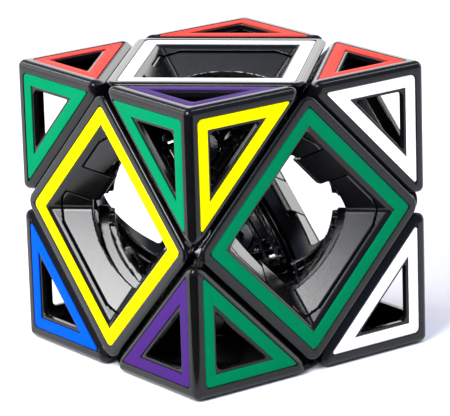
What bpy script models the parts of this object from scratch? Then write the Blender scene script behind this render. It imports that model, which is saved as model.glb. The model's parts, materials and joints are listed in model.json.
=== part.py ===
"""Hollow four-axis corner-turning cube puzzle, 60 mm along each edge.

Four planes through the centre, each square to a body diagonal, cut the cube into six centre
pieces (open diamond frames) and eight corner pieces (open triangular shells). There is no
core: tongues that are arcs about a plane's own axis run in round grooves across that plane,
so each half can turn about its diagonal and no piece can fall out.

Frame: origin at the cube's centre, +Z up, +X out of the front-right face and -Y out of the
front-left face. Every piece's origin is the cube's centre, which lies on every joint axis.
"""
import math

import bmesh
import bpy
from mathutils import Matrix, Vector

MM = 0.001

# Driving dimensions
HALF = 30.0 * MM                 # half the cube's edge
HOLLOW_RADIUS = 0.90 * HALF      # every wall ends on this sphere about the centre
PLANE_GAP = 0.25 * MM            # clearance of each piece from a cut plane
PART_GAP = 0.30 * MM             # clearance between the pieces that make one unit

# Centre pieces: walls that follow the cut planes
CENTRE_WALL = 0.29 * HALF        # level step from cut plane to inner wall surface
SEAM_LEVEL = 0.946 * HALF        # cap and liner part here
SEAM_HALF_WIDTH = 0.573 * HALF   # straight stretch of the seam, before its ends drop
SEAM_SLOPE = 2.0                 # run per unit of drop at the seam's ends
WALL_FOOT = 0.4 * HALF           # level where the walls' blank starts, inside the hollow
CAP_CORNER_SETBACK = 2.88 * MM   # setback of the rounding at a diamond's four corners
CAP_EDGE_RADIUS = 0.8 * MM       # rounding of the cap's outer edge
TABBED_WALLS = ((1, 1), (-1, -1))     # walls with a tab of the cap, and with a groove
TONGUED_WALLS = ((1, -1), (-1, 1))
TAB_INNER_LEVEL = 0.765 * HALF   # straight inner edge of a cap's tab, on the wall's surface
TAB_LIP = 1.3 * MM               # drop of the tab's end from that edge
TAB_SPAN = (-0.036 * HALF, 0.265 * HALF)   # along the wall, from its middle
TAB_THICKNESS = 1.6 * MM

# Corner pieces: shells with a window in each face
SHELL_PLATE = 1.6 * MM           # thickness behind each outer face
SHELL_WALL = 2.6 * MM            # thickness of the walls along the cut planes
CUBE_EDGE_RADIUS = 1.4 * MM
CONE_FOOT = 0.25 * HALF          # where a corner's blank starts along its diagonal
CONE_REACH = 2.0 * HALF          # and where it ends, past the cube's corner
WINDOW_LEG = 0.822 * HALF        # a window's two short sides
WINDOW_LONG = 1.21 * HALF        # x + y along a window's long side

# Arc tongues and grooves about a plane's axis
TONGUE_RADII = (29.2 * MM, 30.8 * MM)
TONGUE_REACH = 1.45 * MM         # beyond the cut plane
TONGUE_ROOT = 1.25 * MM          # back from the cut plane, into its own wall
TONGUE_HALF_ANGLE = math.radians(24.0)
GROOVE_RADII = (28.8 * MM, 31.2 * MM)
GROOVE_DEPTH = 1.95 * MM         # from the cut plane

# Corner feet: inner frames that close a corner shell towards the hollow
FOOT_RADII = (24.0 * MM, 26.4 * MM)
FOOT_CLEARANCE = 0.6 * MM        # from each cut plane
FOOT_WINDOW_RADIUS = 3.0 * MM
FOOT_WINDOW_OFFSET = 7.6 * MM    # from the diagonal
BOSS_RADIUS = 3.6 * MM
BOSS_SPAN = (23.0 * MM, 31.5 * MM)
BOSS_BORE_RADIUS = 1.3 * MM
BORE_SPAN = (15.0 * MM, 36.0 * MM)   # along the diagonal, clear through the foot
LUG_SIZE = (5.6 * MM, 2.0 * MM, 7.0 * MM)
LUG_OFFSET = 5.1 * MM            # from the diagonal
LUG_LEVEL = 31.8 * MM            # outer end, along the diagonal

# Coloured tiles set into shallow recesses
TILE_THICKNESS = 0.25 * MM
TILE_TOP = HALF - 0.10 * MM
RECESS_DEPTH = 0.60 * MM
TILE_SIDE_GAP = 0.15 * MM        # to the side of its recess
DIAMOND_OUTER = 0.852 * HALF     # half-diagonals of a diamond tile
DIAMOND_INNER = 0.722 * HALF
TRIANGLE_LEG_OUTER = 0.917 * HALF
TRIANGLE_LONG_OUTER = 1.065 * HALF
TRIANGLE_LEG_INNER = 0.838 * HALF
TRIANGLE_LONG_INNER = 1.186 * HALF

# Fineness
ARC_STEPS_TONGUE = 5
ARC_STEPS_GROOVE = 32
RING_PHASE = math.radians(2.3)   # turn of a ring's first facet edge off the symmetry plane
SPHERE_SEGMENTS = 24
SPHERE_RINGS = 12
BOSS_SIDES = 12
HOLE_SIDES = 10
OVERSHOOT = 1.0 * MM             # how far a cutter runs past the surface it cuts
WELD_DISTANCE = 0.002 * MM
FLAT_ANGLE = math.radians(0.5)   # facets closer than this become one face
MATCH = 0.01                     # directions closer than this are the same
ROUGHNESS = 0.3
PIVOT_DISPLAY = 5.0 * MM

DIAGONAL = Vector((1, 1, 1)).normalized()

COLOURS = {
    "black": (0.012, 0.012, 0.014),
    "white": (0.86, 0.86, 0.86),
    "yellow": (0.95, 0.86, 0.0),
    "red": (0.78, 0.05, 0.05),
    "purple": (0.12, 0.035, 0.36),
    "green": (0.0, 0.33, 0.17),
    "blue": (0.0, 0.17, 0.85),
}

# Faces by the direction they look in; corners by the three faces they touch
FACES = {
    "top": (0, 0, 1),
    "bottom": (0, 0, -1),
    "front_left": (0, -1, 0),
    "front_right": (1, 0, 0),
    "back_left": (-1, 0, 0),
    "back_right": (0, 1, 0),
}
CORNERS = {
    "left_bottom": (-1, -1, -1),
    "right_bottom": (1, 1, -1),
    "front_bottom": (1, -1, -1),
    "back_bottom": (-1, 1, -1),
    "left_top": (-1, -1, 1),
    "right_top": (1, 1, 1),
    "front_top": (1, -1, 1),
    "back_top": (-1, 1, 1),
}
CENTRE_COLOUR = {
    "top": "white",
    "bottom": "blue",
    "front_left": "yellow",
    "front_right": "green",
    "back_left": "purple",
    "back_right": "red",
}
CORNER_COLOURS = {
    "left_bottom": {"front_left": "blue", "bottom": "red", "back_left": "yellow"},
    "right_bottom": {"front_right": "white", "back_right": "blue", "bottom": "purple"},
    "front_bottom": {"front_left": "purple", "front_right": "green", "bottom": "white"},
    "back_bottom": {"back_right": "purple", "back_left": "blue", "bottom": "yellow"},
    "left_top": {"top": "red", "front_left": "green", "back_left": "yellow"},
    "right_top": {"top": "red", "back_right": "blue", "front_right": "white"},
    "front_top": {"top": "purple", "front_right": "yellow", "front_left": "green"},
    "back_top": {"top": "red", "back_left": "white", "back_right": "green"},
}
# Each unit hangs on the unit that it turns against; the bottom centre is the root
PARENTS = {
    "left_bottom_corner": "bottom_centre",
    "right_bottom_corner": "bottom_centre",
    "front_bottom_corner": "bottom_centre",
    "back_bottom_corner": "bottom_centre",
    "front_right_centre": "right_bottom_corner",
    "back_left_centre": "left_bottom_corner",
    "back_right_centre": "back_bottom_corner",
    "front_left_centre": "front_bottom_corner",
    "left_top_corner": "front_left_centre",
    "right_top_corner": "back_right_centre",
    "front_top_corner": "front_right_centre",
    "back_top_corner": "back_left_centre",
    "top_centre": "left_top_corner",
}


# ---------------------------------------------------------------- scene and helpers

def clear_scene():
    for obj in list(bpy.data.objects):
        bpy.data.objects.remove(obj, do_unlink=True)


def new_collection(name):
    collection = bpy.data.collections.new(name)
    bpy.context.scene.collection.children.link(collection)
    return collection


def make_material(name, colour, roughness):
    material = bpy.data.materials.new(name)
    material.use_nodes = True
    shader = material.node_tree.nodes["Principled BSDF"]
    shader.inputs["Base Color"].default_value = (*colour, 1.0)
    shader.inputs["Roughness"].default_value = roughness
    shader.inputs["Metallic"].default_value = 0.0
    return material


def helper(name, bm):
    """A hidden object from a bmesh: a blank or a cutter, never a part."""
    bmesh.ops.recalc_face_normals(bm, faces=bm.faces)
    mesh = bpy.data.meshes.new(name)
    bm.to_mesh(mesh)
    bm.free()
    obj = bpy.data.objects.new(name, mesh)
    obj.hide_render = True
    obj.display_type = "WIRE"
    HELPERS.objects.link(obj)
    return obj


def boolean(target, tool, operation):
    modifier = target.modifiers.new(tool.name, "BOOLEAN")
    modifier.operation = operation
    modifier.solver = "EXACT"
    modifier.object = tool


def finished_mesh(obj, name):
    """The evaluated mesh of a blank with all its cuts, tidied."""
    bpy.context.view_layer.update()
    depsgraph = bpy.context.evaluated_depsgraph_get()
    mesh = bpy.data.meshes.new_from_object(obj.evaluated_get(depsgraph))
    mesh.name = name
    bm = bmesh.new()
    bm.from_mesh(mesh)
    bmesh.ops.remove_doubles(bm, verts=bm.verts, dist=WELD_DISTANCE)
    bmesh.ops.dissolve_limit(bm, angle_limit=FLAT_ANGLE, verts=bm.verts, edges=bm.edges)
    bmesh.ops.triangulate(bm, faces=bm.faces)
    bm.to_mesh(mesh)
    bm.free()
    return mesh


# ---------------------------------------------------------------- basic solids

def frustum(name, sides, low, high, radius_at, turn=0.0):
    """A pyramid stump about Z between two levels; radius_at gives its corner radius."""
    bm = bmesh.new()
    bmesh.ops.create_cone(
        bm, cap_ends=True, segments=sides, radius1=radius_at(low), radius2=radius_at(high),
        depth=high - low, matrix=Matrix.Translation((0, 0, (low + high) / 2)))
    bmesh.ops.rotate(bm, verts=bm.verts, matrix=Matrix.Rotation(turn, 3, "Z"))
    return helper(name, bm)


def ball(name, radius, frame):
    bm = bmesh.new()
    bmesh.ops.create_uvsphere(bm, u_segments=SPHERE_SEGMENTS, v_segments=SPHERE_RINGS,
                              radius=radius)
    # Half a segment of turn keeps the ball's edges off the walls' own corners
    turn = Matrix.Rotation(math.pi / SPHERE_SEGMENTS, 3, "Z")
    bmesh.ops.rotate(bm, verts=bm.verts, matrix=turn)
    bmesh.ops.transform(bm, verts=bm.verts, matrix=frame)
    return helper(name, bm)


def block(name, size, matrix):
    bm = bmesh.new()
    bmesh.ops.create_cube(bm, size=1.0)
    bmesh.ops.scale(bm, verts=bm.verts, vec=size)
    bmesh.ops.transform(bm, verts=bm.verts, matrix=matrix)
    return helper(name, bm)


def cylinder(name, radius, low, high, matrix, segments):
    bm = bmesh.new()
    bmesh.ops.create_cone(bm, cap_ends=True, segments=segments, radius1=radius, radius2=radius,
                          depth=high - low, matrix=Matrix.Translation((0, 0, (low + high) / 2)))
    bmesh.ops.transform(bm, verts=bm.verts, matrix=matrix)
    return helper(name, bm)


def axes_matrix(x_axis, y_axis, z_axis):
    return Matrix((x_axis, y_axis, z_axis)).transposed().to_4x4()


def arc_bar(name, normal, middle, radii, span, half_angle, steps):
    """A bar of rectangular section bent about normal, centred on the direction middle."""
    normal = normal.normalized()
    middle = middle.normalized()
    frame = axes_matrix(middle, normal.cross(middle), normal)
    full = half_angle >= math.pi
    bm = bmesh.new()
    # Whole rings start off the symmetry plane, so two that cross share no facet edge
    start = Matrix.Rotation(RING_PHASE if full else -half_angle, 3, "Z")
    corners = [(radii[0], span[0]), (radii[1], span[0]), (radii[1], span[1]), (radii[0], span[1])]
    verts = [bm.verts.new(start @ Vector((r, 0, t))) for r, t in corners]
    edges = [bm.edges.new((verts[i - 1], verts[i])) for i in range(4)]
    section = [] if full else [bm.faces.new(verts)]
    bmesh.ops.spin(bm, geom=[*verts, *edges, *section], cent=(0, 0, 0), axis=(0, 0, 1),
                   angle=2 * half_angle, steps=steps)
    if full:
        bmesh.ops.remove_doubles(bm, verts=bm.verts, dist=WELD_DISTANCE)
    bmesh.ops.transform(bm, verts=bm.verts, matrix=frame)
    return helper(name, bm)


def prism(name, outline, low, high):
    """A straight prism along Z over a convex outline."""
    bm = bmesh.new()
    face = bm.faces.new([bm.verts.new((x, y, low)) for x, y in outline])
    moved = bmesh.ops.extrude_face_region(bm, geom=[face])["geom"]
    verts = [item for item in moved if isinstance(item, bmesh.types.BMVert)]
    bmesh.ops.translate(bm, verts=verts, vec=(0, 0, high - low))
    return helper(name, bm)


def diamond_outline(radius):
    return [(radius, 0), (0, radius), (-radius, 0), (0, -radius)]


def triangle_outline(leg, long_side):
    return [(leg, leg), (long_side - leg, leg), (leg, long_side - leg)]


# ---------------------------------------------------------------- centre piece

def centre_wall():
    """Four walls along the cut planes, from the hollow out to the top face."""
    # Moving a cut plane in by PLANE_GAP moves it by this much along Z
    step = math.sqrt(3) * PLANE_GAP
    wall = frustum("centre_blank", 4, WALL_FOOT, HALF, lambda z: z - step)
    bm = bmesh.new()
    bm.from_mesh(wall.data)
    leaning = [e for e in bm.edges if abs(e.verts[0].co.z - e.verts[1].co.z) > MM]
    bmesh.ops.bevel(bm, geom=leaning, offset=CAP_CORNER_SETBACK, offset_type="OFFSET",
                    segments=3, profile=0.5, affect="EDGES")
    top = [e for e in bm.edges if all(v.co.z > HALF - WELD_DISTANCE for v in e.verts)]
    bmesh.ops.bevel(bm, geom=top, offset=CAP_EDGE_RADIUS, offset_type="OFFSET",
                    segments=2, profile=0.5, affect="EDGES")
    bm.to_mesh(wall.data)
    bm.free()
    inner = frustum("centre_opening", 4, WALL_FOOT - OVERSHOOT, HALF + OVERSHOOT,
                    lambda z: z - CENTRE_WALL)
    boolean(wall, inner, "DIFFERENCE")
    hollow = ball("centre_hollow", HOLLOW_RADIUS, Matrix.Identity(4))
    for corner in TABBED_WALLS:
        boolean(hollow, tab_zone("tab_kept", corner, 0), "DIFFERENCE")
    boolean(wall, hollow, "DIFFERENCE")
    return wall


def seam_body(name, offset):
    """What lies below the seam: flat on top, dropping towards the diamond's corners."""
    top = SEAM_LEVEL + offset

    def radius_at(z):
        return math.sqrt(2) * (SEAM_HALF_WIDTH + SEAM_SLOPE * (top - z))
    return frustum(name, 4, WALL_FOOT - OVERSHOOT, top, radius_at, math.radians(45))


def tab_zone(name, corner, growth):
    """The space of the cap's tab in one wall; its straight end drops into the hollow."""
    outward = Vector((corner[0], corner[1], 0)).normalized()
    upward = Vector((0, 0, 1))
    along = upward.cross(outward)
    near = (TAB_INNER_LEVEL - CENTRE_WALL) / math.sqrt(2) - growth
    low = TAB_INNER_LEVEL - TAB_LIP - growth
    high = SEAM_LEVEL + OVERSHOOT
    size = (HALF - near, TAB_SPAN[1] - TAB_SPAN[0] + 2 * growth, high - low)
    centre = outward * (HALF + near) / 2 + along * sum(TAB_SPAN) / 2 + upward * (high + low) / 2
    matrix = Matrix.Translation(centre) @ axes_matrix(outward, along, upward)
    zone = block(name, size, matrix)
    behind = math.sqrt(3) * (TAB_THICKNESS + growth)
    depth = frustum(name + "_depth", 4, low - OVERSHOOT, high + OVERSHOOT,
                    lambda z: z - CENTRE_WALL + behind)
    boolean(zone, depth, "INTERSECT")
    return zone


def liner_space(name, offset):
    """What lies below the seam and beside the cap's tabs."""
    space = seam_body(name, offset)
    for corner in TABBED_WALLS:
        boolean(space, tab_zone(name + "_tab", corner, -offset), "DIFFERENCE")
    return space


def centre_cap_mesh():
    cap = centre_wall()
    boolean(cap, liner_space("cap_limit", PART_GAP / 2), "DIFFERENCE")
    recess_radius = DIAMOND_OUTER + math.sqrt(2) * TILE_SIDE_GAP
    recess = prism("diamond_recess", diamond_outline(recess_radius), HALF - RECESS_DEPTH,
                   HALF + OVERSHOOT)
    boolean(cap, recess, "DIFFERENCE")
    return finished_mesh(cap, "centre_cap")


def wall_directions(corner):
    """Plane normal towards the corner, mid-wall direction, for the +Z centre piece."""
    x, y = corner
    return Vector((x, y, -1)).normalized(), Vector((x, y, 2)).normalized()


def centre_liner_mesh():
    liner = centre_wall()
    boolean(liner, liner_space("liner_limit", -PART_GAP / 2), "INTERSECT")
    for corner in TABBED_WALLS:
        normal, middle = wall_directions(corner)
        groove = arc_bar("liner_groove", normal, middle, GROOVE_RADII,
                         (-GROOVE_DEPTH, OVERSHOOT), math.pi, ARC_STEPS_GROOVE)
        boolean(liner, groove, "DIFFERENCE")
    for corner in TONGUED_WALLS:
        normal, middle = wall_directions(corner)
        tongue = arc_bar("liner_tongue", normal, middle, TONGUE_RADII,
                         (-TONGUE_ROOT, TONGUE_REACH), TONGUE_HALF_ANGLE, ARC_STEPS_TONGUE)
        boolean(liner, tongue, "UNION")
    return finished_mesh(liner, "centre_liner")


# ---------------------------------------------------------------- corner piece

def corner_frame():
    """Z along the diagonal of the (+,+,+) corner, Y towards its back-top edge."""
    y_axis = Vector((-2, 1, 1)).normalized()
    return axes_matrix(y_axis.cross(DIAGONAL), y_axis, DIAGONAL)


def corner_cone(name, clearance):
    """The three cut planes of a corner, each moved in by clearance."""
    # A cut plane leans so that moving it in by clearance moves the tip three times as far
    shift = 3 * clearance
    bm = bmesh.new()
    bmesh.ops.create_cone(
        bm, cap_ends=True, segments=3, radius1=CONE_FOOT / math.sqrt(2),
        radius2=CONE_REACH / math.sqrt(2), depth=CONE_REACH - CONE_FOOT,
        matrix=Matrix.Translation((0, 0, (CONE_FOOT + CONE_REACH) / 2 + shift)))
    bmesh.ops.transform(bm, verts=bm.verts, matrix=corner_frame())
    return helper(name, bm)


def rounded_cube(name, half, radius):
    bm = bmesh.new()
    bmesh.ops.create_cube(bm, size=2 * half)
    if radius:
        bmesh.ops.bevel(bm, geom=bm.edges[:], offset=radius, offset_type="OFFSET",
                        segments=2, profile=0.5, affect="EDGES")
    return helper(name, bm)


def window_cutter(name, outline, low, high, face):
    """A prism through one outer face; face 0, 1, 2 looks along Z, X, Y."""
    cutter = prism(name, outline, low, high)
    turn = Matrix.Rotation(math.radians(120 * face), 4, DIAGONAL)
    cutter.data.transform(turn)
    return cutter


def corner_shell_mesh(name, tongued):
    shell = corner_cone(name + "_blank", PLANE_GAP)
    boolean(shell, rounded_cube("outer_cube", HALF, CUBE_EDGE_RADIUS), "INTERSECT")
    cavity = corner_cone("corner_cavity", PLANE_GAP + SHELL_WALL)
    boolean(cavity, rounded_cube("inner_cube", HALF - SHELL_PLATE, 0), "INTERSECT")
    boolean(shell, cavity, "DIFFERENCE")
    recess_outline = triangle_outline(TRIANGLE_LEG_OUTER + TILE_SIDE_GAP,
                                      TRIANGLE_LONG_OUTER - math.sqrt(2) * TILE_SIDE_GAP)
    for face in range(3):
        window = window_cutter("window", triangle_outline(WINDOW_LEG, WINDOW_LONG),
                               HALF - 2 * SHELL_PLATE, HALF + OVERSHOOT, face)
        boolean(shell, window, "DIFFERENCE")
        recess = window_cutter("triangle_recess", recess_outline, HALF - RECESS_DEPTH,
                               HALF + OVERSHOOT, face)
        boolean(shell, recess, "DIFFERENCE")
    boolean(shell, ball("corner_hollow", HOLLOW_RADIUS, corner_frame()), "DIFFERENCE")
    for face in range(3):
        turn = Matrix.Rotation(math.radians(120 * face), 3, DIAGONAL)
        normal = turn @ Vector((-1, -1, 1)).normalized()
        middle = turn @ Vector((1, 1, 2)).normalized()
        if tongued:
            tongue = arc_bar("shell_tongue", normal, middle, TONGUE_RADII,
                             (-TONGUE_ROOT, TONGUE_REACH), TONGUE_HALF_ANGLE, ARC_STEPS_TONGUE)
            boolean(shell, tongue, "UNION")
        else:
            groove = arc_bar("shell_groove", normal, middle, GROOVE_RADII,
                             (-GROOVE_DEPTH, OVERSHOOT), math.pi, ARC_STEPS_GROOVE)
            boolean(shell, groove, "DIFFERENCE")
    return finished_mesh(shell, name)


def corner_foot_mesh():
    """A curved three-armed frame inside the shell's mouth, with a bored boss and lugs."""
    frame = corner_frame()
    foot = ball("foot_blank", FOOT_RADII[1], Matrix.Identity(4))
    boolean(foot, ball("foot_inside", FOOT_RADII[0], Matrix.Identity(4)), "DIFFERENCE")
    boolean(foot, corner_cone("foot_limit", FOOT_CLEARANCE), "INTERSECT")
    for arm in range(3):
        turn = frame @ Matrix.Rotation(math.radians(120 * arm), 4, "Z")
        hole = cylinder("foot_hole", FOOT_WINDOW_RADIUS, *BORE_SPAN,
                        turn @ Matrix.Translation((0, FOOT_WINDOW_OFFSET, 0)), HOLE_SIDES)
        boolean(foot, hole, "DIFFERENCE")
        lug = block("foot_lug", LUG_SIZE,
                    turn @ Matrix.Translation((0, -LUG_OFFSET, LUG_LEVEL - LUG_SIZE[2] / 2)))
        boolean(foot, lug, "UNION")
    boolean(foot, cylinder("boss", BOSS_RADIUS, *BOSS_SPAN, frame, BOSS_SIDES), "UNION")
    bore = cylinder("boss_bore", BOSS_BORE_RADIUS, *BORE_SPAN, frame, HOLE_SIDES)
    boolean(foot, bore, "DIFFERENCE")
    return finished_mesh(foot, "corner_foot")


# ---------------------------------------------------------------- tiles

def tile_mesh(name, outer, inner):
    tile = prism(name + "_blank", outer, TILE_TOP - TILE_THICKNESS, TILE_TOP)
    hole = prism(name + "_hole", inner, HALF - OVERSHOOT, HALF + OVERSHOOT)
    boolean(tile, hole, "DIFFERENCE")
    return finished_mesh(tile, name)


# ---------------------------------------------------------------- placing

def even_rotations():
    """The twelve turns that carry the cube's two sets of four corners onto themselves."""
    turns = [Matrix.Identity(3)]
    for diagonal in ((1, 1, 1), (-1, -1, 1), (1, -1, -1), (-1, 1, -1)):
        for angle in (120, 240):
            turns.append(Matrix.Rotation(math.radians(angle), 3, Vector(diagonal)))
    for axis in "XYZ":
        turns.append(Matrix.Rotation(math.pi, 3, axis))
    return turns


def turn_to(start, end):
    """The even turn that carries one direction onto another."""
    for turn in even_rotations():
        if (turn @ Vector(start) - Vector(end)).length < MATCH:
            return turn
    raise ValueError(f"no even turn carries {start} onto {end}")


def place(name, mesh, turn, pivot, material):
    obj = bpy.data.objects.new(name, mesh)
    obj.rotation_mode = "QUATERNION"
    obj.rotation_quaternion = turn.to_quaternion()
    obj.parent = pivot
    PARTS.objects.link(obj)
    if not mesh.materials:
        mesh.materials.append(None)
    obj.material_slots[0].link = "OBJECT"
    obj.material_slots[0].material = MATERIALS[material]
    return obj


def add_pivot(unit):
    """An empty at the cube's centre, where every joint axis passes."""
    pivot = bpy.data.objects.new("pivot_" + unit, None)
    pivot.empty_display_size = PIVOT_DISPLAY
    PARTS.objects.link(pivot)
    return pivot


def hang_units(pivots):
    for unit, parent in PARENTS.items():
        pivots[unit].parent = pivots[parent]


def build_centres():
    """The six centre pieces; gives back the pivot of each."""
    cap = centre_cap_mesh()
    liner = centre_liner_mesh()
    tile = tile_mesh("diamond_tile", diamond_outline(DIAMOND_OUTER),
                     diamond_outline(DIAMOND_INNER))
    pivots = {}
    for face, direction in FACES.items():
        turn = turn_to((0, 0, 1), direction)
        pivot = pivots[face + "_centre"] = add_pivot(face + "_centre")
        place(face + "_centre_cap", cap, turn, pivot, "black")
        place(face + "_centre_liner", liner, turn, pivot, "black")
        place(face + "_centre_tile", tile, turn, pivot, CENTRE_COLOUR[face])
    return pivots


def build_corners():
    """The eight corner pieces; gives back the pivot of each."""
    grooved = corner_shell_mesh("grooved_shell", False)
    tongued = corner_shell_mesh("tongued_shell", True)
    foot = corner_foot_mesh()
    tile = tile_mesh("triangle_tile", triangle_outline(TRIANGLE_LEG_OUTER, TRIANGLE_LONG_OUTER),
                     triangle_outline(TRIANGLE_LEG_INNER, TRIANGLE_LONG_INNER))
    pivots = {}
    for corner, direction in CORNERS.items():
        x, y, z = direction
        pivot = pivots[corner + "_corner"] = add_pivot(corner + "_corner")
        if x * y * z > 0:
            turn = turn_to((1, 1, 1), direction)
            shell = tongued
        else:
            quarter = Matrix.Rotation(math.radians(90), 3, "Z")
            turn = turn_to(quarter @ Vector((1, 1, 1)), direction) @ quarter
            shell = grooved
        place(corner + "_corner_shell", shell, turn, pivot, "black")
        place(corner + "_corner_foot", foot, turn, pivot, "black")
        for face, colour in CORNER_COLOURS[corner].items():
            for step in range(3):
                spin = turn @ Matrix.Rotation(math.radians(120 * step), 3, DIAGONAL)
                if (spin @ Vector((0, 0, 1)) - Vector(FACES[face])).length < MATCH:
                    place(f"{corner}_corner_tile_{face}", tile, spin, pivot, colour)
    return pivots


clear_scene()
PARTS = new_collection("hollow_corner_turning_puzzle")
HELPERS = new_collection("cutters")
MATERIALS = {name: make_material(name, colour, ROUGHNESS) for name, colour in COLOURS.items()}
hang_units({**build_centres(), **build_corners()})
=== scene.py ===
"""Looks of the hollow corner-turning cube puzzle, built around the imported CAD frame.

Each moulded piece is described by a distance function: how far a point lies outside the piece's
surface, in millimetres, negative inside. Joining and cutting such functions with a radius gives
every edge a real rounding. A net of quads is then laid over the surface where the distance is
zero. The coloured tiles are flat outlines with rounded corners.
"""

import json
import math

import bmesh
import bpy
import numpy as np
from mathutils import Matrix, Vector


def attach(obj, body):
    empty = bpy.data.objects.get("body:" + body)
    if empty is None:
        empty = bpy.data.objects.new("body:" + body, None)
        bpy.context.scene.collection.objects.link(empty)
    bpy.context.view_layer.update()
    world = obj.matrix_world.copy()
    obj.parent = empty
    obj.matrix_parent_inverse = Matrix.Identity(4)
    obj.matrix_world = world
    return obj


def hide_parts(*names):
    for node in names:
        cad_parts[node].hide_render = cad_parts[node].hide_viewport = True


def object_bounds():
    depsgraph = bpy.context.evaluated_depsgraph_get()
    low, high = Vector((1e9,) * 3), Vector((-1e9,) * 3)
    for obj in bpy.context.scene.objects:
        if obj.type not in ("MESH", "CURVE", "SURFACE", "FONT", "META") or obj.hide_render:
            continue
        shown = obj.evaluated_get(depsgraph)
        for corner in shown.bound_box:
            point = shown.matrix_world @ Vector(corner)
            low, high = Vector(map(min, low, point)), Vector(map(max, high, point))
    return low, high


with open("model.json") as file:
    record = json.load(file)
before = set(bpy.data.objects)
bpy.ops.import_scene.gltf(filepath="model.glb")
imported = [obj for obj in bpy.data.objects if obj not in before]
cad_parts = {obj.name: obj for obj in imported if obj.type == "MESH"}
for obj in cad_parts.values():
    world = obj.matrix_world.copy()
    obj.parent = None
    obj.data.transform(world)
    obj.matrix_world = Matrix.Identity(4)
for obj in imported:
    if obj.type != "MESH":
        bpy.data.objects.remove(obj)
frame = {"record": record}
CAD_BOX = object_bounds()

MM = 0.001
SQRT2 = math.sqrt(2)
SQRT3 = math.sqrt(3)

# ---------------------------------------------------------------- sizes, in millimetres
HALF = round(CAD_BOX[1].x / MM, 3)      # half the cube's edge
HOLLOW_RADIUS = 0.90 * HALF             # sphere that the pieces' inner edges lie on
PLANE_GAP = 0.25                        # clearance of each piece from a cut plane
SEAM_GAP = 0.30                         # between cap and liner

CENTRE_WALL = 0.29 * HALF               # level step from cut plane to inner wall surface
CENTRE_CORNER_ROUND = 2.6               # the four corners of a diamond
OPENING_CORNER_ROUND = 0.7              # the four corners of its opening
RIM_ROUND = 1.25                        # edges between outer faces and cut planes
LIP_ROUND = 0.60                        # inner edge of a diamond frame
HOLLOW_EDGE_ROUND = 0.35                # edges on the hollow's sphere
RECESS_DEPTH = 0.36                     # of the recess that holds a tile
RECESS_ROUND = 0.12
SEAM_LEVEL = 0.946 * HALF               # cap and liner part here
SEAM_HALF_WIDTH = 0.573 * HALF          # straight stretch of the seam, before its ends drop
SEAM_SLOPE = 2.0                        # run per unit of drop at the seam's ends
SEAM_ROUND = 0.12

# A wall is named by the signs of X and Y on its side of the centre piece
TABBED_WALLS = ((1, 1), (-1, -1))       # walls with a tab of the cap, and with a groove
TONGUED_WALLS = ((1, -1), (-1, 1))
TAB_INNER_LEVEL = 0.765 * HALF          # straight inner edge of a cap's tab
TAB_LIP = 1.3                           # drop of the tab's end from that edge
TAB_SPAN = (-0.036 * HALF, 0.265 * HALF)   # along the wall, from its middle
TAB_THICKNESS = 1.6
TAB_ROUND = 0.15

TONGUE_RADII = (29.2, 30.8)
TONGUE_SPAN = (-1.25, 1.45)             # across the cut plane
TONGUE_HALF_ANGLE = math.radians(24.0)
GROOVE_RADII = (28.8, 31.2)
GROOVE_SPAN = (-1.95, 1.0)
RAIL_ROUND = 0.15

CUBE_EDGE_ROUND = 1.45
CORNER_TIP_ROUND = 3.6                  # where a corner's cut planes meet
SHELL_PLATE = 1.6                       # thickness behind each outer face
SHELL_WALL = 2.6                        # thickness of the walls along the cut planes
CAVITY_ROUND = 0.7
WINDOW_LEG = 0.815 * HALF               # a window's two short sides
WINDOW_LONG = 1.22 * HALF               # x + y along a window's long side
WINDOW_ROUND = 0.2
WINDOW_CORNER_ROUND = 0.4
SQUARE_CORNER_FACTOR = 3                # a triangle's square corner is this much rounder
LEDGE_LEVEL = 0.895 * HALF              # small ledges on a shell's walls, below each face
LEDGE_SHARE = 0.98                      # of that level, where a ledge's middle is
LEDGE_SIZE = (5.6, 1.0, 0.8)            # along the wall, out of it, thickness
LEDGE_ROUND = 0.15

FOOT_RADII = (24.0, 26.4)
FOOT_CLEARANCE = 0.6                    # from each cut plane
FOOT_ROUND = 0.35
FOOT_WINDOW_RADIUS = 3.0
FOOT_WINDOW_OFFSET = 7.6                # from the diagonal
FOOT_RAILS = ((1.3, 2.1), (3.9, 4.7))   # from a cut plane
FOOT_RAIL_RADII = (22.9, 24.5)
BOSS_RADIUS = 3.6
BOSS_SPAN = (23.0, 31.5)
BOSS_BORE_RADIUS = 1.3
LUG_SIZE = (5.6, 2.0, 7.0)              # around the diagonal, out from it, along it
LUG_OFFSET = 5.1                        # from the diagonal
LUG_LEVEL = 31.8                        # outer end, along the diagonal
LUG_ROUND = 0.25

TILE_TOP = HALF - 0.10
TILE_THICKNESS = 0.24
TILE_SIDE_GAP = 0.12
TILE_EDGE_ROUND = 0.06
TILE_EDGE_STEPS = 2
DIAMOND_OUTER = 0.852 * HALF            # from the face's middle to a diamond's corner
DIAMOND_INNER = 0.722 * HALF
TRIANGLE_LEG_OUTER = 0.917 * HALF
TRIANGLE_LONG_OUTER = 1.065 * HALF
TRIANGLE_LEG_INNER = 0.838 * HALF
TRIANGLE_LONG_INNER = 1.186 * HALF
TILE_OUTER_CORNER = 1.1                 # rounding where two sides meet squarely
TILE_ACUTE_CORNER = 0.35
TILE_INNER_CORNER = 0.12
ACUTE_HALF_ANGLE = math.radians(30)     # half of a corner's angle, up to which it is acute
CORNER_STEPS = 5
TILE_SHARP_ANGLE = math.radians(40)
WELD_DISTANCE = 0.001

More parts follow.
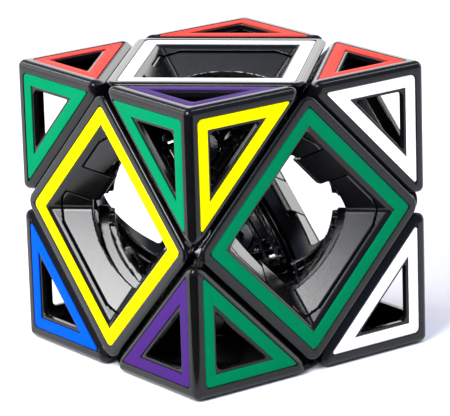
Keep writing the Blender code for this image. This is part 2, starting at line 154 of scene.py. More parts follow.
# ---------------------------------------------------------------- nets
NET_STEP = 0.28
FOOT_NET_STEP = 0.34
NET_MARGIN = 0.5                        # past the cube's faces
CENTRE_NET_SIDE = HALF / SQRT2 + 1.5    # a centre piece's half width, along its own sides
CENTRE_NET_FLOOR = 0.6 * HALF
CORNER_NET_FLOOR = -2.0
PROJECTION_ROUNDS = 3
LEAST_SLOPE = 0.05                      # least squared gradient that a step divides by
SLOPE_STEP = 0.02
NORMAL_INSET = 0.15                     # how far inside a face its corners' shading is taken
FLAT_ANGLE = math.radians(1.5)          # faces that meet flatter than this are merged
SAME_DIRECTION = 0.01                   # two unit directions this close are the same

# ---------------------------------------------------------------- camera
LENS = 275.5
SENSOR_WIDTH = 36.0
CLIP_START = 0.01
CAMERA_DISTANCE = 0.7157
CAMERA_AZIMUTH = math.radians(-36.41)   # of the camera's place, from +X
CAMERA_ELEVATION = math.radians(15.562)
CAMERA_ROLL = math.radians(1.777)
AIM = Vector((0.43, -1.60)) * MM        # right of and above the cube's centre

# ---------------------------------------------------------------- studio
WALL_TOP = (0.38, 0.52)                 # sines of the elevations where the white walls end
WALL_AZIMUTH = 143.6                    # the side the white walls are on
WALL_FADE = (-0.1, 0.2)                 # cosines from that side, over which they begin
WALL_LIGHT = 2.4
CEILING_COLOUR = (0.09, 0.11, 0.17)
FLOOR_HALF_WIDTH = 6.0                  # in metres, as all sizes of the studio
FLOOR_DROP = 0.0002                     # below the cube
FLAG_DROP = 0.0001
FLAG_TIP = Vector((36, -38, 0)) * MM    # the flag's near corner, just off the cube
FLAG_REACH = 1.5
FLAG_CORNERS = ((-135, 1), (-53, 1.4), (27, 1))   # azimuth and share of the reach

LAMP_DISTANCE = 0.70
SOFTBOXES = {                           # azimuth, elevation, width, height, radiance, shift
    "key": (-60, 54, 0.33, 0.33, 21.0, (-0.101, -0.187)),
    "left_strip": (-161, 38, 0.05, 0.30, 12.0, (0, 0)),
    "right_strip": (65, 51, 0.05, 0.30, 12.0, (0, 0)),
}
FILLS = {                               # azimuth, elevation, spread in degrees, strength
    "left_fill": (-105, 14, 40, 1.4),
    "top_fill": (120, 80, 90, 1.1),
}

# ---------------------------------------------------------------- colours and finishes
BLACK = (0.0035, 0.0035, 0.004)
FLOOR_COLOUR = (0.93, 0.93, 0.93)
FLAG_COLOUR = (0.01, 0.01, 0.01)
COLOURS = {
    "tile_white": (0.95, 0.95, 0.95),
    "tile_yellow": (0.96, 0.83, 0.0),
    "tile_red": (0.78, 0.05, 0.035),
    "tile_purple": (0.050, 0.016, 0.135),
    "tile_green": (0.0, 0.198, 0.078),
    "tile_blue": (0.0, 0.074, 0.60),
}

# Shares of colour and roughness that vary, the grain's fineness and strength, and the gloss
OUTER_FINISH = dict(tint=0.15, roughness=0.20, roughness_swing=0.03, grain=5200.0, bump=0.08,
                    specular=0.33)
INNER_FINISH = dict(tint=0.2, roughness=0.17, roughness_swing=0.02, grain=4200.0, bump=0.08,
                    specular=0.5)
TILE_FINISH = dict(tint=0.03, roughness=0.42, roughness_swing=0.05, grain=3600.0, bump=0.12,
                   specular=0.01)
FLOOR_FINISH = dict(tint=0.005, roughness=0.8, roughness_swing=0.02, grain=200.0, bump=0.05,
                    specular=0.1)
FLAG_FINISH = dict(tint=0.1, roughness=0.9, roughness_swing=0.02, grain=200.0, bump=0.05,
                   specular=0.0)
MOTTLE_SCALE = 140.0                    # patches of slightly different colour
MOTTLE_DETAIL = 4.0
MOTTLE_RANGE = (0.3, 0.7)
SMEAR_SCALE = 60.0                      # patches of slightly different gloss
SMEAR_DETAIL = 6.0
SMEAR_ROUGHNESS = 0.65
GRAIN_DETAIL = 3.0
GRAIN_DEPTH = 0.00004
SLOT_OF = {item["node"]: item["material_slot"] for item in frame["record"]["subparts"]}

FACES = {
    "top": (0, 0, 1),
    "bottom": (0, 0, -1),
    "front_left": (0, -1, 0),
    "front_right": (1, 0, 0),
    "back_left": (-1, 0, 0),
    "back_right": (0, 1, 0),
}
CORNERS = {
    "left_bottom": (-1, -1, -1),
    "right_bottom": (1, 1, -1),
    "front_bottom": (1, -1, -1),
    "back_bottom": (-1, 1, -1),
    "left_top": (-1, -1, 1),
    "right_top": (1, 1, 1),
    "front_top": (1, -1, 1),
    "back_top": (-1, 1, 1),
}
DIAGONAL = Vector((1, 1, 1)).normalized()


# ---------------------------------------------------------------- distances

def meet(a, b, radius):
    """Inside both, with the shared edge rounded."""
    corner = np.hypot(np.maximum(a + radius, 0), np.maximum(b + radius, 0))
    return np.minimum(-radius, np.maximum(a, b)) + corner


def join(a, b, radius):
    """Inside either, with a fillet where they touch."""
    return -meet(-a, -b, radius)


def cut(a, b, radius):
    """Inside a and outside b."""
    return meet(a, -b, radius)


def meet_all(distances, radius):
    result = distances[0]
    for distance in distances[1:]:
        result = meet(result, distance, radius)
    return result


def along(p, direction):
    return p @ np.array(direction, float)


def ball(p, radius):
    return np.linalg.norm(p, axis=1) - radius


def box(p, centre, axes, size, radius):
    """A rounded block; axes are its three unit directions."""
    q = np.abs((p - np.array(centre)) @ np.array(axes).T) - (np.array(size) / 2 - radius)
    outside = np.linalg.norm(np.maximum(q, 0), axis=1)
    return outside + np.minimum(q.max(axis=1), 0) - radius


def ring(p, normal, radii, span, radius):
    """A ring of rectangular section about normal."""
    t = along(p, normal)
    rho = np.sqrt(np.maximum((p * p).sum(axis=1) - t * t, 0))
    middle = (radii[0] + radii[1]) / 2
    section = np.abs(rho - middle) - (radii[1] - radii[0]) / 2
    across = np.abs(t - (span[0] + span[1]) / 2) - (span[1] - span[0]) / 2
    return meet(section, across, radius)


def arc(p, normal, middle, radii, span, half_angle, radius):
    """A stretch of a ring, centred on the direction middle."""
    side = np.cross(normal, middle)
    angle = np.arctan2(along(p, side), along(p, middle))
    past_end = (np.abs(angle) - half_angle) * (radii[0] + radii[1]) / 2
    return meet(ring(p, normal, radii, span, radius), past_end, radius)


def unit(*values):
    vector = np.array(values, float)
    return vector / np.linalg.norm(vector)


# ---------------------------------------------------------------- centre piece, looking along +Z

WALL_SIGNS = ((1, 1), (1, -1), (-1, 1), (-1, -1))


def leaning_planes(p, shift, radius):
    """Four planes that follow the cut planes, moved in by shift along the level."""
    a, b, c, d = ((sx * p[:, 0] + sy * p[:, 1] - p[:, 2] + shift) / SQRT3
                  for sx, sy in WALL_SIGNS)
    return meet(meet(a, b, radius), meet(c, d, radius), radius)


def centre_body(p):
    walls = leaning_planes(p, SQRT3 * PLANE_GAP, CENTRE_CORNER_ROUND)
    body = meet(walls, p[:, 2] - HALF, RIM_ROUND)
    recess_edge = (np.abs(p[:, 0]) + np.abs(p[:, 1]) - DIAMOND_OUTER) / SQRT2 - TILE_SIDE_GAP
    body = cut(body, np.maximum(recess_edge, HALF - RECESS_DEPTH - p[:, 2]), RECESS_ROUND)
    body = cut(body, leaning_planes(p, CENTRE_WALL, OPENING_CORNER_ROUND), LIP_ROUND)
    hollow = cut(ball(p, HOLLOW_RADIUS), tab_zone(p, 0), TAB_ROUND)
    return cut(body, hollow, HOLLOW_EDGE_ROUND)


def tab_zone(p, growth):
    """The space of the cap's two tabs; their straight ends drop into the hollow."""
    zones = []
    for sx, sy in TABBED_WALLS:
        outward = unit(sx, sy, 0)
        across = along(p, np.cross((0, 0, 1), outward)) - sum(TAB_SPAN) / 2
        behind = (sx * p[:, 0] + sy * p[:, 1] - p[:, 2] + CENTRE_WALL) / SQRT3
        zones.append(meet_all([
            np.abs(across) - (TAB_SPAN[1] - TAB_SPAN[0]) / 2,
            (TAB_INNER_LEVEL - CENTRE_WALL) / SQRT2 - along(p, outward),
            TAB_INNER_LEVEL - TAB_LIP - p[:, 2],
            behind - TAB_THICKNESS], TAB_ROUND))
    return np.minimum(*zones) - growth


def liner_space(p, offset):
    """What lies below the seam and beside the cap's tabs."""
    level = SEAM_LEVEL + offset
    width = np.maximum(np.abs(p[:, 0]), np.abs(p[:, 1]))
    slope = (width - SEAM_HALF_WIDTH - SEAM_SLOPE * (level - p[:, 2])) / math.hypot(1, SEAM_SLOPE)
    below = np.maximum(slope, p[:, 2] - level)
    return cut(below, tab_zone(p, -offset), SEAM_ROUND)


def centre_cap(p):
    return cut(centre_body(p), liner_space(p, SEAM_GAP / 2), SEAM_ROUND)


def centre_liner(p):
    body = meet(centre_body(p), liner_space(p, -SEAM_GAP / 2), SEAM_ROUND)
    for sx, sy in TABBED_WALLS:
        groove = ring(p, unit(sx, sy, -1), GROOVE_RADII, GROOVE_SPAN, RAIL_ROUND)
        body = cut(body, groove, RAIL_ROUND)
    for sx, sy in TONGUED_WALLS:
        tongue = arc(p, unit(sx, sy, -1), unit(sx, sy, 2), TONGUE_RADII, TONGUE_SPAN,
                     TONGUE_HALF_ANGLE, RAIL_ROUND)
        body = join(body, tongue, RAIL_ROUND)
    return body


# ---------------------------------------------------------------- corner piece, towards (1, 1, 1)

CUT_NORMALS = tuple(unit(*signs) for signs in ((-1, -1, 1), (1, -1, -1), (-1, 1, -1)))


def corner_cone(p, clearance, radius):
    """Inside all three of the corner's cut planes, each moved in by clearance."""
    return meet_all([along(p, normal) + clearance for normal in CUT_NORMALS], radius)


def corner_cube(p, half, radius):
    return meet_all([p[:, 0] - half, p[:, 1] - half, p[:, 2] - half], radius)


def triangle(p, leg, long_side, radius):
    """A right triangle's prism along Z, rounder at its square corner."""
    square = meet(p[:, 0] - leg, p[:, 1] - leg, SQUARE_CORNER_FACTOR * radius)
    return meet(square, (long_side - p[:, 0] - p[:, 1]) / SQRT2, radius)


def turned(p, face):
    """The points seen with face 0, 1 or 2 of the corner brought to the Z side."""
    return np.roll(p, -face, axis=1)


def wall_ledge(shell, p):
    """A small ledge on the wall along the Z face's long side."""
    normal = CUT_NORMALS[0]
    sideways = unit(1, -1, 0)
    rise = unit(1, 1, 2)
    depth = PLANE_GAP + SHELL_WALL + LEDGE_SIZE[1] / 2
    middle = rise * LEDGE_LEVEL * 3 / math.sqrt(6) * LEDGE_SHARE - normal * depth
    ledge = box(p, middle, (sideways, normal, rise), LEDGE_SIZE, LEDGE_ROUND)
    return join(shell, ledge, LEDGE_ROUND)


def corner_shell(p, tongued):
    shell = meet(corner_cone(p, PLANE_GAP, CORNER_TIP_ROUND),
                 corner_cube(p, HALF, CUBE_EDGE_ROUND), RIM_ROUND)
    cavity = meet(corner_cone(p, PLANE_GAP + SHELL_WALL, CAVITY_ROUND),
                  corner_cube(p, HALF - SHELL_PLATE, CAVITY_ROUND), CAVITY_ROUND)
    shell = cut(shell, cavity, WINDOW_ROUND)
    for face in range(3):
        q = turned(p, face)
        window = np.maximum(triangle(q, WINDOW_LEG, WINDOW_LONG, WINDOW_CORNER_ROUND),
                            HALF - 2 * SHELL_PLATE - q[:, 2])
        shell = cut(shell, window, WINDOW_ROUND)
        recess = np.maximum(triangle(q, TRIANGLE_LEG_OUTER + TILE_SIDE_GAP,
                                     TRIANGLE_LONG_OUTER - SQRT2 * TILE_SIDE_GAP,
                                     TILE_ACUTE_CORNER), HALF - RECESS_DEPTH - q[:, 2])
        shell = cut(shell, recess, RECESS_ROUND)
    shell = cut(shell, ball(p, HOLLOW_RADIUS), HOLLOW_EDGE_ROUND)
    for face in range(3):
        q = turned(p, face)
        normal = CUT_NORMALS[0]
        if tongued:
            tongue = arc(q, normal, unit(1, 1, 2), TONGUE_RADII, TONGUE_SPAN,
                         TONGUE_HALF_ANGLE, RAIL_ROUND)
            shell = join(shell, tongue, RAIL_ROUND)
        else:
            groove = ring(q, normal, GROOVE_RADII, GROOVE_SPAN, RAIL_ROUND)
            shell = cut(shell, groove, RAIL_ROUND)
        shell = wall_ledge(shell, q)
    return shell


def tongued_shell(p):
    return corner_shell(p, True)


def grooved_shell(p):
    return corner_shell(p, False)


def corner_foot(p):
    """A curved three-armed frame with holes, concentric rails, a bored boss and lugs."""
    diagonal = unit(1, 1, 1)
    foot = meet(ball(p, FOOT_RADII[1]), -ball(p, FOOT_RADII[0]), FOOT_ROUND)
    reach = along(p, diagonal)
    off_axis = p - np.outer(reach, diagonal)
    for face in range(3):
        arm = unit(*np.roll((1, 1, -2), face))
        beside = off_axis - FOOT_WINDOW_OFFSET * arm
        foot = cut(foot, np.linalg.norm(beside, axis=1) - FOOT_WINDOW_RADIUS, FOOT_ROUND)
    for face in range(3):
        q = turned(p, face)
        for start, end in FOOT_RAILS:
            rail = ring(q, CUT_NORMALS[0], FOOT_RAIL_RADII, (-end, -start), RAIL_ROUND)
            foot = join(foot, rail, RAIL_ROUND)
    foot = meet(foot, corner_cone(p, FOOT_CLEARANCE, FOOT_ROUND), FOOT_ROUND)
    for face in range(3):
        arm = unit(*np.roll((1, 1, -2), face))
        sideways = np.cross(diagonal, arm)
        centre = diagonal * (LUG_LEVEL - LUG_SIZE[2] / 2) - arm * LUG_OFFSET
        lug = box(p, centre, (sideways, arm, diagonal), LUG_SIZE, LUG_ROUND)
        foot = join(foot, lug, FOOT_ROUND)
    across = np.linalg.norm(off_axis, axis=1)
    boss = meet(across - BOSS_RADIUS, np.abs(reach - sum(BOSS_SPAN) / 2)
                - (BOSS_SPAN[1] - BOSS_SPAN[0]) / 2, FOOT_ROUND)
    foot = join(foot, boss, FOOT_ROUND)
    return cut(foot, across - BOSS_BORE_RADIUS, FOOT_ROUND)


# ---------------------------------------------------------------- net over a surface

def slope(distance, p):
    """The distance's gradient, by small steps."""
    columns = []
    for axis in range(3):
        step = np.zeros(3)
        step[axis] = SLOPE_STEP
        columns.append((distance(p + step) - distance(p - step)) / (2 * SLOPE_STEP))
    return np.stack(columns, axis=1)


def settle(distance, p, reach):
    """Moves points onto the surface, by at most reach in all."""
    start = p.copy()
    for _ in range(PROJECTION_ROUNDS):
        gradient = slope(distance, p)
        squared = np.maximum((gradient * gradient).sum(axis=1), LEAST_SLOPE)
        p = p - gradient * (distance(p) / squared)[:, None]
        move = p - start
        size = np.maximum(np.linalg.norm(move, axis=1), 1e-9)
        p = start + move * np.minimum(1, reach / size)[:, None]
    return p


def net(distance, low, high, step, turn):
    """Vertices and quads over the surface, on a grid turned about Z."""
    basis = np.array(Matrix.Rotation(turn, 3, "Z"))
    low, high = np.array(low, float), np.array(high, float)
    counts = np.ceil((high - low) / step).astype(int) + 1
    ticks = [low[i] + step * np.arange(counts[i]) for i in range(3)]
    grid = np.stack(np.meshgrid(*ticks, indexing="ij"), axis=-1).reshape(-1, 3)
    values = distance(grid @ basis.T).reshape(counts)
    inside = values < 0

    shifts = [(x, y, z) for x in (0, 1) for y in (0, 1) for z in (0, 1)]
    cells_shape = counts - 1
    total = np.zeros(cells_shape, int)
    for x, y, z in shifts:
        total += inside[x:x + cells_shape[0], y:y + cells_shape[1], z:z + cells_shape[2]]
    cells = np.argwhere((total > 0) & (total < 8))
    number = np.full(cells_shape, -1)
    number[tuple(cells.T)] = np.arange(len(cells))

    place = np.zeros((len(cells), 3))
    crossings = np.zeros(len(cells))
    for axis in range(3):
        ahead = np.eye(3, dtype=int)[axis]
        for shift in shifts:
            if shift[axis]:
                continue
            start = cells + shift
            a = values[tuple(start.T)]
            b = values[tuple((start + ahead).T)]
            crossed = (a < 0) != (b < 0)
            share = np.where(crossed, a / np.where(crossed, a - b, 1), 0)
            place += crossed[:, None] * (np.array(shift) + share[:, None] * ahead)
            crossings += crossed
    verts = (low + step * (cells + place / crossings[:, None])) @ basis.T

    quads = []
    for axis in range(3):
        one, two = (axis + 1) % 3, (axis + 2) % 3
        ahead = np.eye(3, dtype=int)
        size = np.array(counts)
        size[axis] -= 1
        here = inside[tuple(slice(0, n) for n in size)]
        there = np.roll(inside, -1, axis=axis)[tuple(slice(0, n) for n in size)]
        edges = np.argwhere(here != there)
        keep = (edges[:, one] > 0) & (edges[:, two] > 0)
        keep &= (edges[:, one] < cells_shape[one]) & (edges[:, two] < cells_shape[two])
        edges = edges[keep]
        corners = [edges - ahead[one] - ahead[two], edges - ahead[two], edges,
                   edges - ahead[one]]
        quad = np.stack([number[tuple(corner.T)] for corner in corners], axis=1)
        flip = ~here[tuple(edges.T)]
        quad[flip] = quad[flip][:, ::-1]
        quads.append(quad)
    return settle(distance, verts, step), np.concatenate(quads)


def surface_normals(distance, mesh):
    """The exact direction of the surface beside each face corner, a little inside the face."""
    places = np.empty(3 * len(mesh.vertices))
    mesh.vertices.foreach_get("co", places)
    centres = np.empty(3 * len(mesh.polygons))
    mesh.polygons.foreach_get("center", centres)
    totals = np.empty(len(mesh.polygons), int)
    mesh.polygons.foreach_get("loop_total", totals)
    owners = np.empty(len(mesh.loops), int)
    mesh.loops.foreach_get("vertex_index", owners)
    here = places.reshape(-1, 3)[owners] / MM
    towards = np.repeat(centres.reshape(-1, 3) / MM, totals, axis=0) - here
    length = np.maximum(np.linalg.norm(towards, axis=1), 1e-6)[:, None]
    inset = np.minimum(NORMAL_INSET, length / 2)
    normals = slope(distance, here + towards / length * inset)
    return normals / np.maximum(np.linalg.norm(normals, axis=1), 1e-6)[:, None]


def moulded_mesh(name, distance, low, high, step, turn=0.0):
    """A finished mesh: flat areas merged, shaded by the surface's own directions."""
    verts, quads = net(distance, low, high, step, turn)
    mesh = bpy.data.meshes.new(name)
    mesh.from_pydata((verts * MM).tolist(), [], quads.tolist())
    bm = bmesh.new()
    bm.from_mesh(mesh)
    bmesh.ops.dissolve_limit(bm, angle_limit=FLAT_ANGLE, verts=bm.verts, edges=bm.edges)
    bmesh.ops.triangulate(bm, faces=[f for f in bm.faces if len(f.verts) > 4])
    bm.to_mesh(mesh)
    bm.free()
    mesh.shade_smooth()
    mesh.normals_split_custom_set(surface_normals(distance, mesh).tolist())
    return mesh


# ---------------------------------------------------------------- tiles

def rounded_outline(points, square_radius, acute_radius):
    """A polygon's outline with an arc at each corner."""
    result = []
    for i, here in enumerate(points):
        here = Vector(here)
        back = (Vector(points[i - 1]) - here).normalized()
        ahead = (Vector(points[(i + 1) % len(points)]) - here).normalized()
        half_angle = back.angle(ahead) / 2
        radius = square_radius if half_angle > ACUTE_HALF_ANGLE else acute_radius
        centre = here + (back + ahead).normalized() * radius / math.sin(half_angle)
        start = here + back * radius / math.tan(half_angle) - centre
        sweep = math.pi - 2 * half_angle
        if back.x * ahead.y - back.y * ahead.x > 0:
            sweep = -sweep
        for step in range(CORNER_STEPS + 1):
            turn = Matrix.Rotation(sweep * step / CORNER_STEPS, 2)
            result.append(centre + turn @ start)
    return result


def tile_mesh(name, outer, inner):
    """A thin frame between two outlines, with softened edges."""
    curve = bpy.data.curves.new(name, "CURVE")
    curve.dimensions = "2D"
    curve.fill_mode = "BOTH"
    curve.extrude = (TILE_THICKNESS / 2 - TILE_EDGE_ROUND) * MM
    curve.bevel_depth = TILE_EDGE_ROUND * MM
    curve.bevel_resolution = TILE_EDGE_STEPS
    curve.offset = -TILE_EDGE_ROUND * MM
    for outline in (rounded_outline(outer, TILE_OUTER_CORNER, TILE_ACUTE_CORNER),
                    rounded_outline(inner, TILE_INNER_CORNER, TILE_INNER_CORNER)):
        spline = curve.splines.new("POLY")
        spline.points.add(len(outline) - 1)
        for point, place in zip(spline.points, outline):
            point.co = (place.x * MM, place.y * MM, 0, 1)
        spline.use_cyclic_u = True
    holder = bpy.data.objects.new(name + "_holder", curve)
    bpy.context.scene.collection.objects.link(holder)
    bpy.context.view_layer.update()
    evaluated = holder.evaluated_get(bpy.context.evaluated_depsgraph_get())
    mesh = bpy.data.meshes.new_from_object(evaluated)
    mesh.name = name
    bpy.data.objects.remove(holder)
    bm = bmesh.new()
    bm.from_mesh(mesh)
    bmesh.ops.remove_doubles(bm, verts=bm.verts, dist=WELD_DISTANCE * MM)
    bmesh.ops.translate(bm, verts=bm.verts, vec=(0, 0, (TILE_TOP - TILE_THICKNESS / 2) * MM))
    bm.to_mesh(mesh)
    bm.free()
    mesh.shade_smooth()
    mesh.set_sharp_from_angle(angle=TILE_SHARP_ANGLE)
    return mesh


def diamond_points(radius):
    return [(radius, 0), (0, radius), (-radius, 0), (0, -radius)]


def triangle_points(leg, long_side):
    return [(leg, leg), (long_side - leg, leg), (leg, long_side - leg)]


# ---------------------------------------------------------------- materials

def node(tree, kind, place, **values):
    made = tree.nodes.new(kind)
    made.location = place
    for key, value in values.items():
        setattr(made, key, value)
    return made


def surface_material(name, colour, tint, roughness, roughness_swing, grain, bump, specular):
    """Moulded plastic: faint mottling, uneven gloss and a fine grain."""
    material = bpy.data.materials.new(name)
    material.use_nodes = True
    tree = material.node_tree
    shader = tree.nodes["Principled BSDF"]
    shader.inputs["Specular IOR Level"].default_value = specular
    shader.inputs["Metallic"].default_value = 0.0
    where = node(tree, "ShaderNodeTexCoord", (-1200, 0))

    mottle = node(tree, "ShaderNodeTexNoise", (-900, 260))
    mottle.inputs["Scale"].default_value = MOTTLE_SCALE
    mottle.inputs["Detail"].default_value = MOTTLE_DETAIL
    tree.links.new(where.outputs["Object"], mottle.inputs["Vector"])
    ramp = node(tree, "ShaderNodeValToRGB", (-600, 300))
    ramp.color_ramp.elements[0].position = MOTTLE_RANGE[0]
    ramp.color_ramp.elements[0].color = (*(c * (1 - tint) for c in colour), 1)
    ramp.color_ramp.elements[1].position = MOTTLE_RANGE[1]
    ramp.color_ramp.elements[1].color = (*(min(1, c * (1 + tint)) for c in colour), 1)
    tree.links.new(mottle.outputs["Fac"], ramp.inputs["Fac"])
    tree.links.new(ramp.outputs["Color"], shader.inputs["Base Color"])

    smear = node(tree, "ShaderNodeTexNoise", (-900, 0))
    smear.inputs["Scale"].default_value = SMEAR_SCALE
    smear.inputs["Detail"].default_value = SMEAR_DETAIL
    smear.inputs["Roughness"].default_value = SMEAR_ROUGHNESS
    tree.links.new(where.outputs["Object"], smear.inputs["Vector"])
    spread = node(tree, "ShaderNodeMapRange", (-600, 0))
    spread.inputs["To Min"].default_value = roughness - roughness_swing
    spread.inputs["To Max"].default_value = roughness + roughness_swing
    tree.links.new(smear.outputs["Fac"], spread.inputs["Value"])
    tree.links.new(spread.outputs["Result"], shader.inputs["Roughness"])

    fine = node(tree, "ShaderNodeTexNoise", (-900, -300))
    fine.inputs["Scale"].default_value = grain
    fine.inputs["Detail"].default_value = GRAIN_DETAIL
    tree.links.new(where.outputs["Object"], fine.inputs["Vector"])
    relief = node(tree, "ShaderNodeBump", (-300, -300))
    relief.inputs["Strength"].default_value = bump
    relief.inputs["Distance"].default_value = GRAIN_DEPTH
    tree.links.new(fine.outputs["Fac"], relief.inputs["Height"])
    tree.links.new(relief.outputs["Normal"], shader.inputs["Normal"])
    return material


def make_materials():
    made = {
        "black_plastic": surface_material("black_plastic", BLACK, **OUTER_FINISH),
        "black_inner_plastic": surface_material("black_inner_plastic", BLACK, **INNER_FINISH),
    }
    for name, colour in COLOURS.items():
        made[name] = surface_material(name, colour, **TILE_FINISH)
    return made


# ---------------------------------------------------------------- placing

def even_rotations():
    """The twelve turns that carry the cube's two sets of four corners onto themselves."""
    turns = [Matrix.Identity(3)]
    for diagonal in ((1, 1, 1), (-1, -1, 1), (1, -1, -1), (-1, 1, -1)):
        for angle in (120, 240):
            turns.append(Matrix.Rotation(math.radians(angle), 3, Vector(diagonal)))
    for axis in "XYZ":
        turns.append(Matrix.Rotation(math.pi, 3, axis))
    return turns


def turn_to(start, end):
    """The even turn that carries one direction onto another."""
    return next(turn for turn in even_rotations()
                if (turn @ Vector(start) - Vector(end)).length < SAME_DIRECTION)


def add_piece(node_name, body, mesh, turn):
    """A piece that stands for one CAD node and rides on its body."""
    piece = bpy.data.objects.new("fine_" + node_name, mesh)
    piece.matrix_world = turn.to_4x4()
    bpy.context.scene.collection.objects.link(piece)
    if not mesh.materials:
        mesh.materials.append(None)
    piece.material_slots[0].link = "OBJECT"
    piece.material_slots[0].material = MATERIALS[SLOT_OF[node_name]]
    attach(piece, body)
    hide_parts(node_name)


def build_centres():
    low = (-CENTRE_NET_SIDE, -CENTRE_NET_SIDE, CENTRE_NET_FLOOR)
    high = (CENTRE_NET_SIDE, CENTRE_NET_SIDE, HALF + NET_MARGIN)
    eighth = math.radians(45)
    cap = moulded_mesh("centre_cap", centre_cap, low, high, NET_STEP, eighth)
    liner = moulded_mesh("centre_liner", centre_liner, low, high, NET_STEP, eighth)
    tile = tile_mesh("diamond_tile", diamond_points(DIAMOND_OUTER), diamond_points(DIAMOND_INNER))
    for face, direction in FACES.items():
        body = face + "_centre"
        turn = turn_to((0, 0, 1), direction)
        add_piece(body + "_cap", body, cap, turn)
        add_piece(body + "_liner", body, liner, turn)
        add_piece(body + "_tile", body, tile, turn)


def build_corners():
    low = (CORNER_NET_FLOOR,) * 3
    high = (HALF + NET_MARGIN,) * 3
    shells = {
        True: moulded_mesh("tongued_shell", tongued_shell, low, high, NET_STEP),
        False: moulded_mesh("grooved_shell", grooved_shell, low, high, NET_STEP),
    }
    foot = moulded_mesh("corner_foot", corner_foot, low, high, FOOT_NET_STEP)
    tile = tile_mesh("triangle_tile", triangle_points(TRIANGLE_LEG_OUTER, TRIANGLE_LONG_OUTER),
                     triangle_points(TRIANGLE_LEG_INNER, TRIANGLE_LONG_INNER))
    for corner, direction in CORNERS.items():
        body = corner + "_corner"
        tongued = direction[0] * direction[1] * direction[2] > 0
        quarter = Matrix.Identity(3) if tongued else Matrix.Rotation(math.radians(90), 3, "Z")
        turn = turn_to(quarter @ Vector((1, 1, 1)), direction) @ quarter
        add_piece(body + "_shell", body, shells[tongued], turn)
        add_piece(body + "_foot", body, foot, turn)
        for step in range(3):
            spin = turn @ Matrix.Rotation(math.radians(120 * step), 3, DIAGONAL)
            for face, normal in FACES.items():
                if (spin @ Vector((0, 0, 1)) - Vector(normal)).length < SAME_DIRECTION:
                    add_piece(f"{body}_tile_{face}", body, tile, spin)


# ---------------------------------------------------------------- stage, light and camera

def add_floor():
    bm = bmesh.new()
    bmesh.ops.create_grid(bm, x_segments=1, y_segments=1, size=FLOOR_HALF_WIDTH)
    mesh = bpy.data.meshes.new("floor")
    bm.to_mesh(mesh)
    bm.free()
    floor = bpy.data.objects.new("floor", mesh)
    floor.location.z = CAD_BOX[0].z - FLOOR_DROP
    bpy.context.scene.collection.objects.link(floor)
    mesh.materials.append(surface_material("floor_paper", FLOOR_COLOUR, **FLOOR_FINISH))


def bearing(azimuth, elevation):
    """A unit direction from two angles in degrees."""
    a, e = math.radians(azimuth), math.radians(elevation)
    return Vector((math.cos(a) * math.cos(e), math.sin(a) * math.cos(e), math.sin(e)))


def add_lamp(name, kind, place, energy, **values):
    lamp = bpy.data.lights.new(name, kind)
    lamp.energy = energy
    for key, value in values.items():
        setattr(lamp, key, value)
    light = bpy.data.objects.new(name, lamp)
    light.location = place
    light.rotation_euler = place.to_track_quat("Z", "Y").to_euler()
    bpy.context.scene.collection.objects.link(light)
    return light


def add_softbox(name, azimuth, elevation, width, height, radiance, shift):
    """A rectangular lamp facing the puzzle, moved sideways and up in its own plane."""
    power = radiance * math.pi * width * height
    place = bearing(azimuth, elevation) * LAMP_DISTANCE
    light = add_lamp(name, "AREA", place, power, shape="RECTANGLE", size=width, size_y=height)
    turn = light.rotation_euler.to_matrix()
    light.location = place + turn @ Vector((*shift, 0))


def add_fill(name, azimuth, elevation, spread, strength):
    """A soft distant lamp that shows in no reflection."""
    light = add_lamp(name, "SUN", bearing(azimuth, elevation), strength,
                     angle=math.radians(spread))
    light.visible_glossy = False


def add_flag():
    """A dark card in front, seen only in reflections: it keeps the rounded edges black."""
    corners = [FLAG_TIP + bearing(azimuth, 0) * FLAG_REACH * share
               for azimuth, share in FLAG_CORNERS]
    mesh = bpy.data.meshes.new("flag")
    mesh.from_pydata([FLAG_TIP, *corners], [], [(0, 1, 2, 3)])
    flag = bpy.data.objects.new("flag", mesh)
    flag.location.z = CAD_BOX[0].z - FLAG_DROP
    bpy.context.scene.collection.objects.link(flag)
    mesh.materials.append(surface_material("flag_card", FLAG_COLOUR, **FLAG_FINISH))
    flag.visible_camera = False
    flag.visible_diffuse = False
    flag.visible_shadow = False


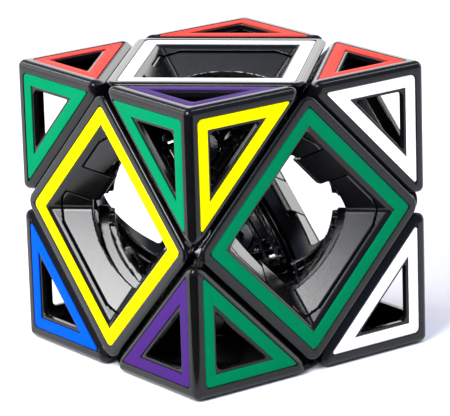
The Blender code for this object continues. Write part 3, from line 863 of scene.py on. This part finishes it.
def add_studio():
    """White walls behind, up to a low height, and dark elsewhere."""
    world = bpy.data.worlds.new("studio")
    world.use_nodes = True
    tree = world.node_tree
    where = node(tree, "ShaderNodeTexCoord", (-1100, 0))
    parts = node(tree, "ShaderNodeSeparateXYZ", (-900, 120))
    low = node(tree, "ShaderNodeMapRange", (-700, 120), interpolation_type="SMOOTHSTEP")
    low.inputs["From Min"].default_value = WALL_TOP[1]
    low.inputs["From Max"].default_value = WALL_TOP[0]
    behind = node(tree, "ShaderNodeVectorMath", (-900, -120), operation="DOT_PRODUCT")
    behind.inputs[1].default_value = bearing(WALL_AZIMUTH, 0)
    back = node(tree, "ShaderNodeMapRange", (-700, -120), interpolation_type="SMOOTHSTEP")
    back.inputs["From Min"].default_value = WALL_FADE[0]
    back.inputs["From Max"].default_value = WALL_FADE[1]
    both = node(tree, "ShaderNodeMath", (-500, 0), operation="MULTIPLY")
    glow = node(tree, "ShaderNodeMixRGB", (-300, 0))
    glow.inputs["Color1"].default_value = (*CEILING_COLOUR, 1)
    glow.inputs["Color2"].default_value = (1, 1, 1, 1)
    tree.links.new(where.outputs["Generated"], parts.inputs["Vector"])
    tree.links.new(where.outputs["Generated"], behind.inputs[0])
    tree.links.new(parts.outputs["Z"], low.inputs["Value"])
    tree.links.new(behind.outputs["Value"], back.inputs["Value"])
    tree.links.new(low.outputs["Result"], both.inputs[0])
    tree.links.new(back.outputs["Result"], both.inputs[1])
    tree.links.new(both.outputs["Value"], glow.inputs["Fac"])
    tree.nodes["Background"].inputs["Strength"].default_value = WALL_LIGHT
    tree.links.new(glow.outputs["Color"], tree.nodes["Background"].inputs["Color"])
    bpy.context.scene.world = world


def add_lights():
    for name, settings in SOFTBOXES.items():
        add_softbox(name, *settings)
    for name, settings in FILLS.items():
        add_fill(name, *settings)
    add_studio()
    add_flag()


def add_camera():
    lens = bpy.data.cameras.new("camera")
    lens.lens = LENS
    lens.sensor_width = SENSOR_WIDTH
    lens.clip_start = CLIP_START
    camera = bpy.data.objects.new("camera", lens)
    flat = math.cos(CAMERA_ELEVATION)
    place = CAMERA_DISTANCE * Vector((math.cos(CAMERA_AZIMUTH) * flat,
                                      math.sin(CAMERA_AZIMUTH) * flat,
                                      math.sin(CAMERA_ELEVATION)))
    right = Vector((-math.sin(CAMERA_AZIMUTH), math.cos(CAMERA_AZIMUTH), 0))
    up = place.cross(right).normalized()
    aim = right * AIM.x + up * AIM.y
    facing = (aim - place).to_track_quat("-Z", "Y")
    camera.rotation_mode = "QUATERNION"
    camera.location = place
    camera.rotation_quaternion = facing @ Matrix.Rotation(-CAMERA_ROLL, 3, "Z").to_quaternion()
    bpy.context.scene.collection.objects.link(camera)
    bpy.context.scene.camera = camera


MATERIALS = make_materials()
build_centres()
build_corners()
add_floor()
add_lights()
add_camera()
bpy.context.scene.view_settings.view_transform = "Standard"
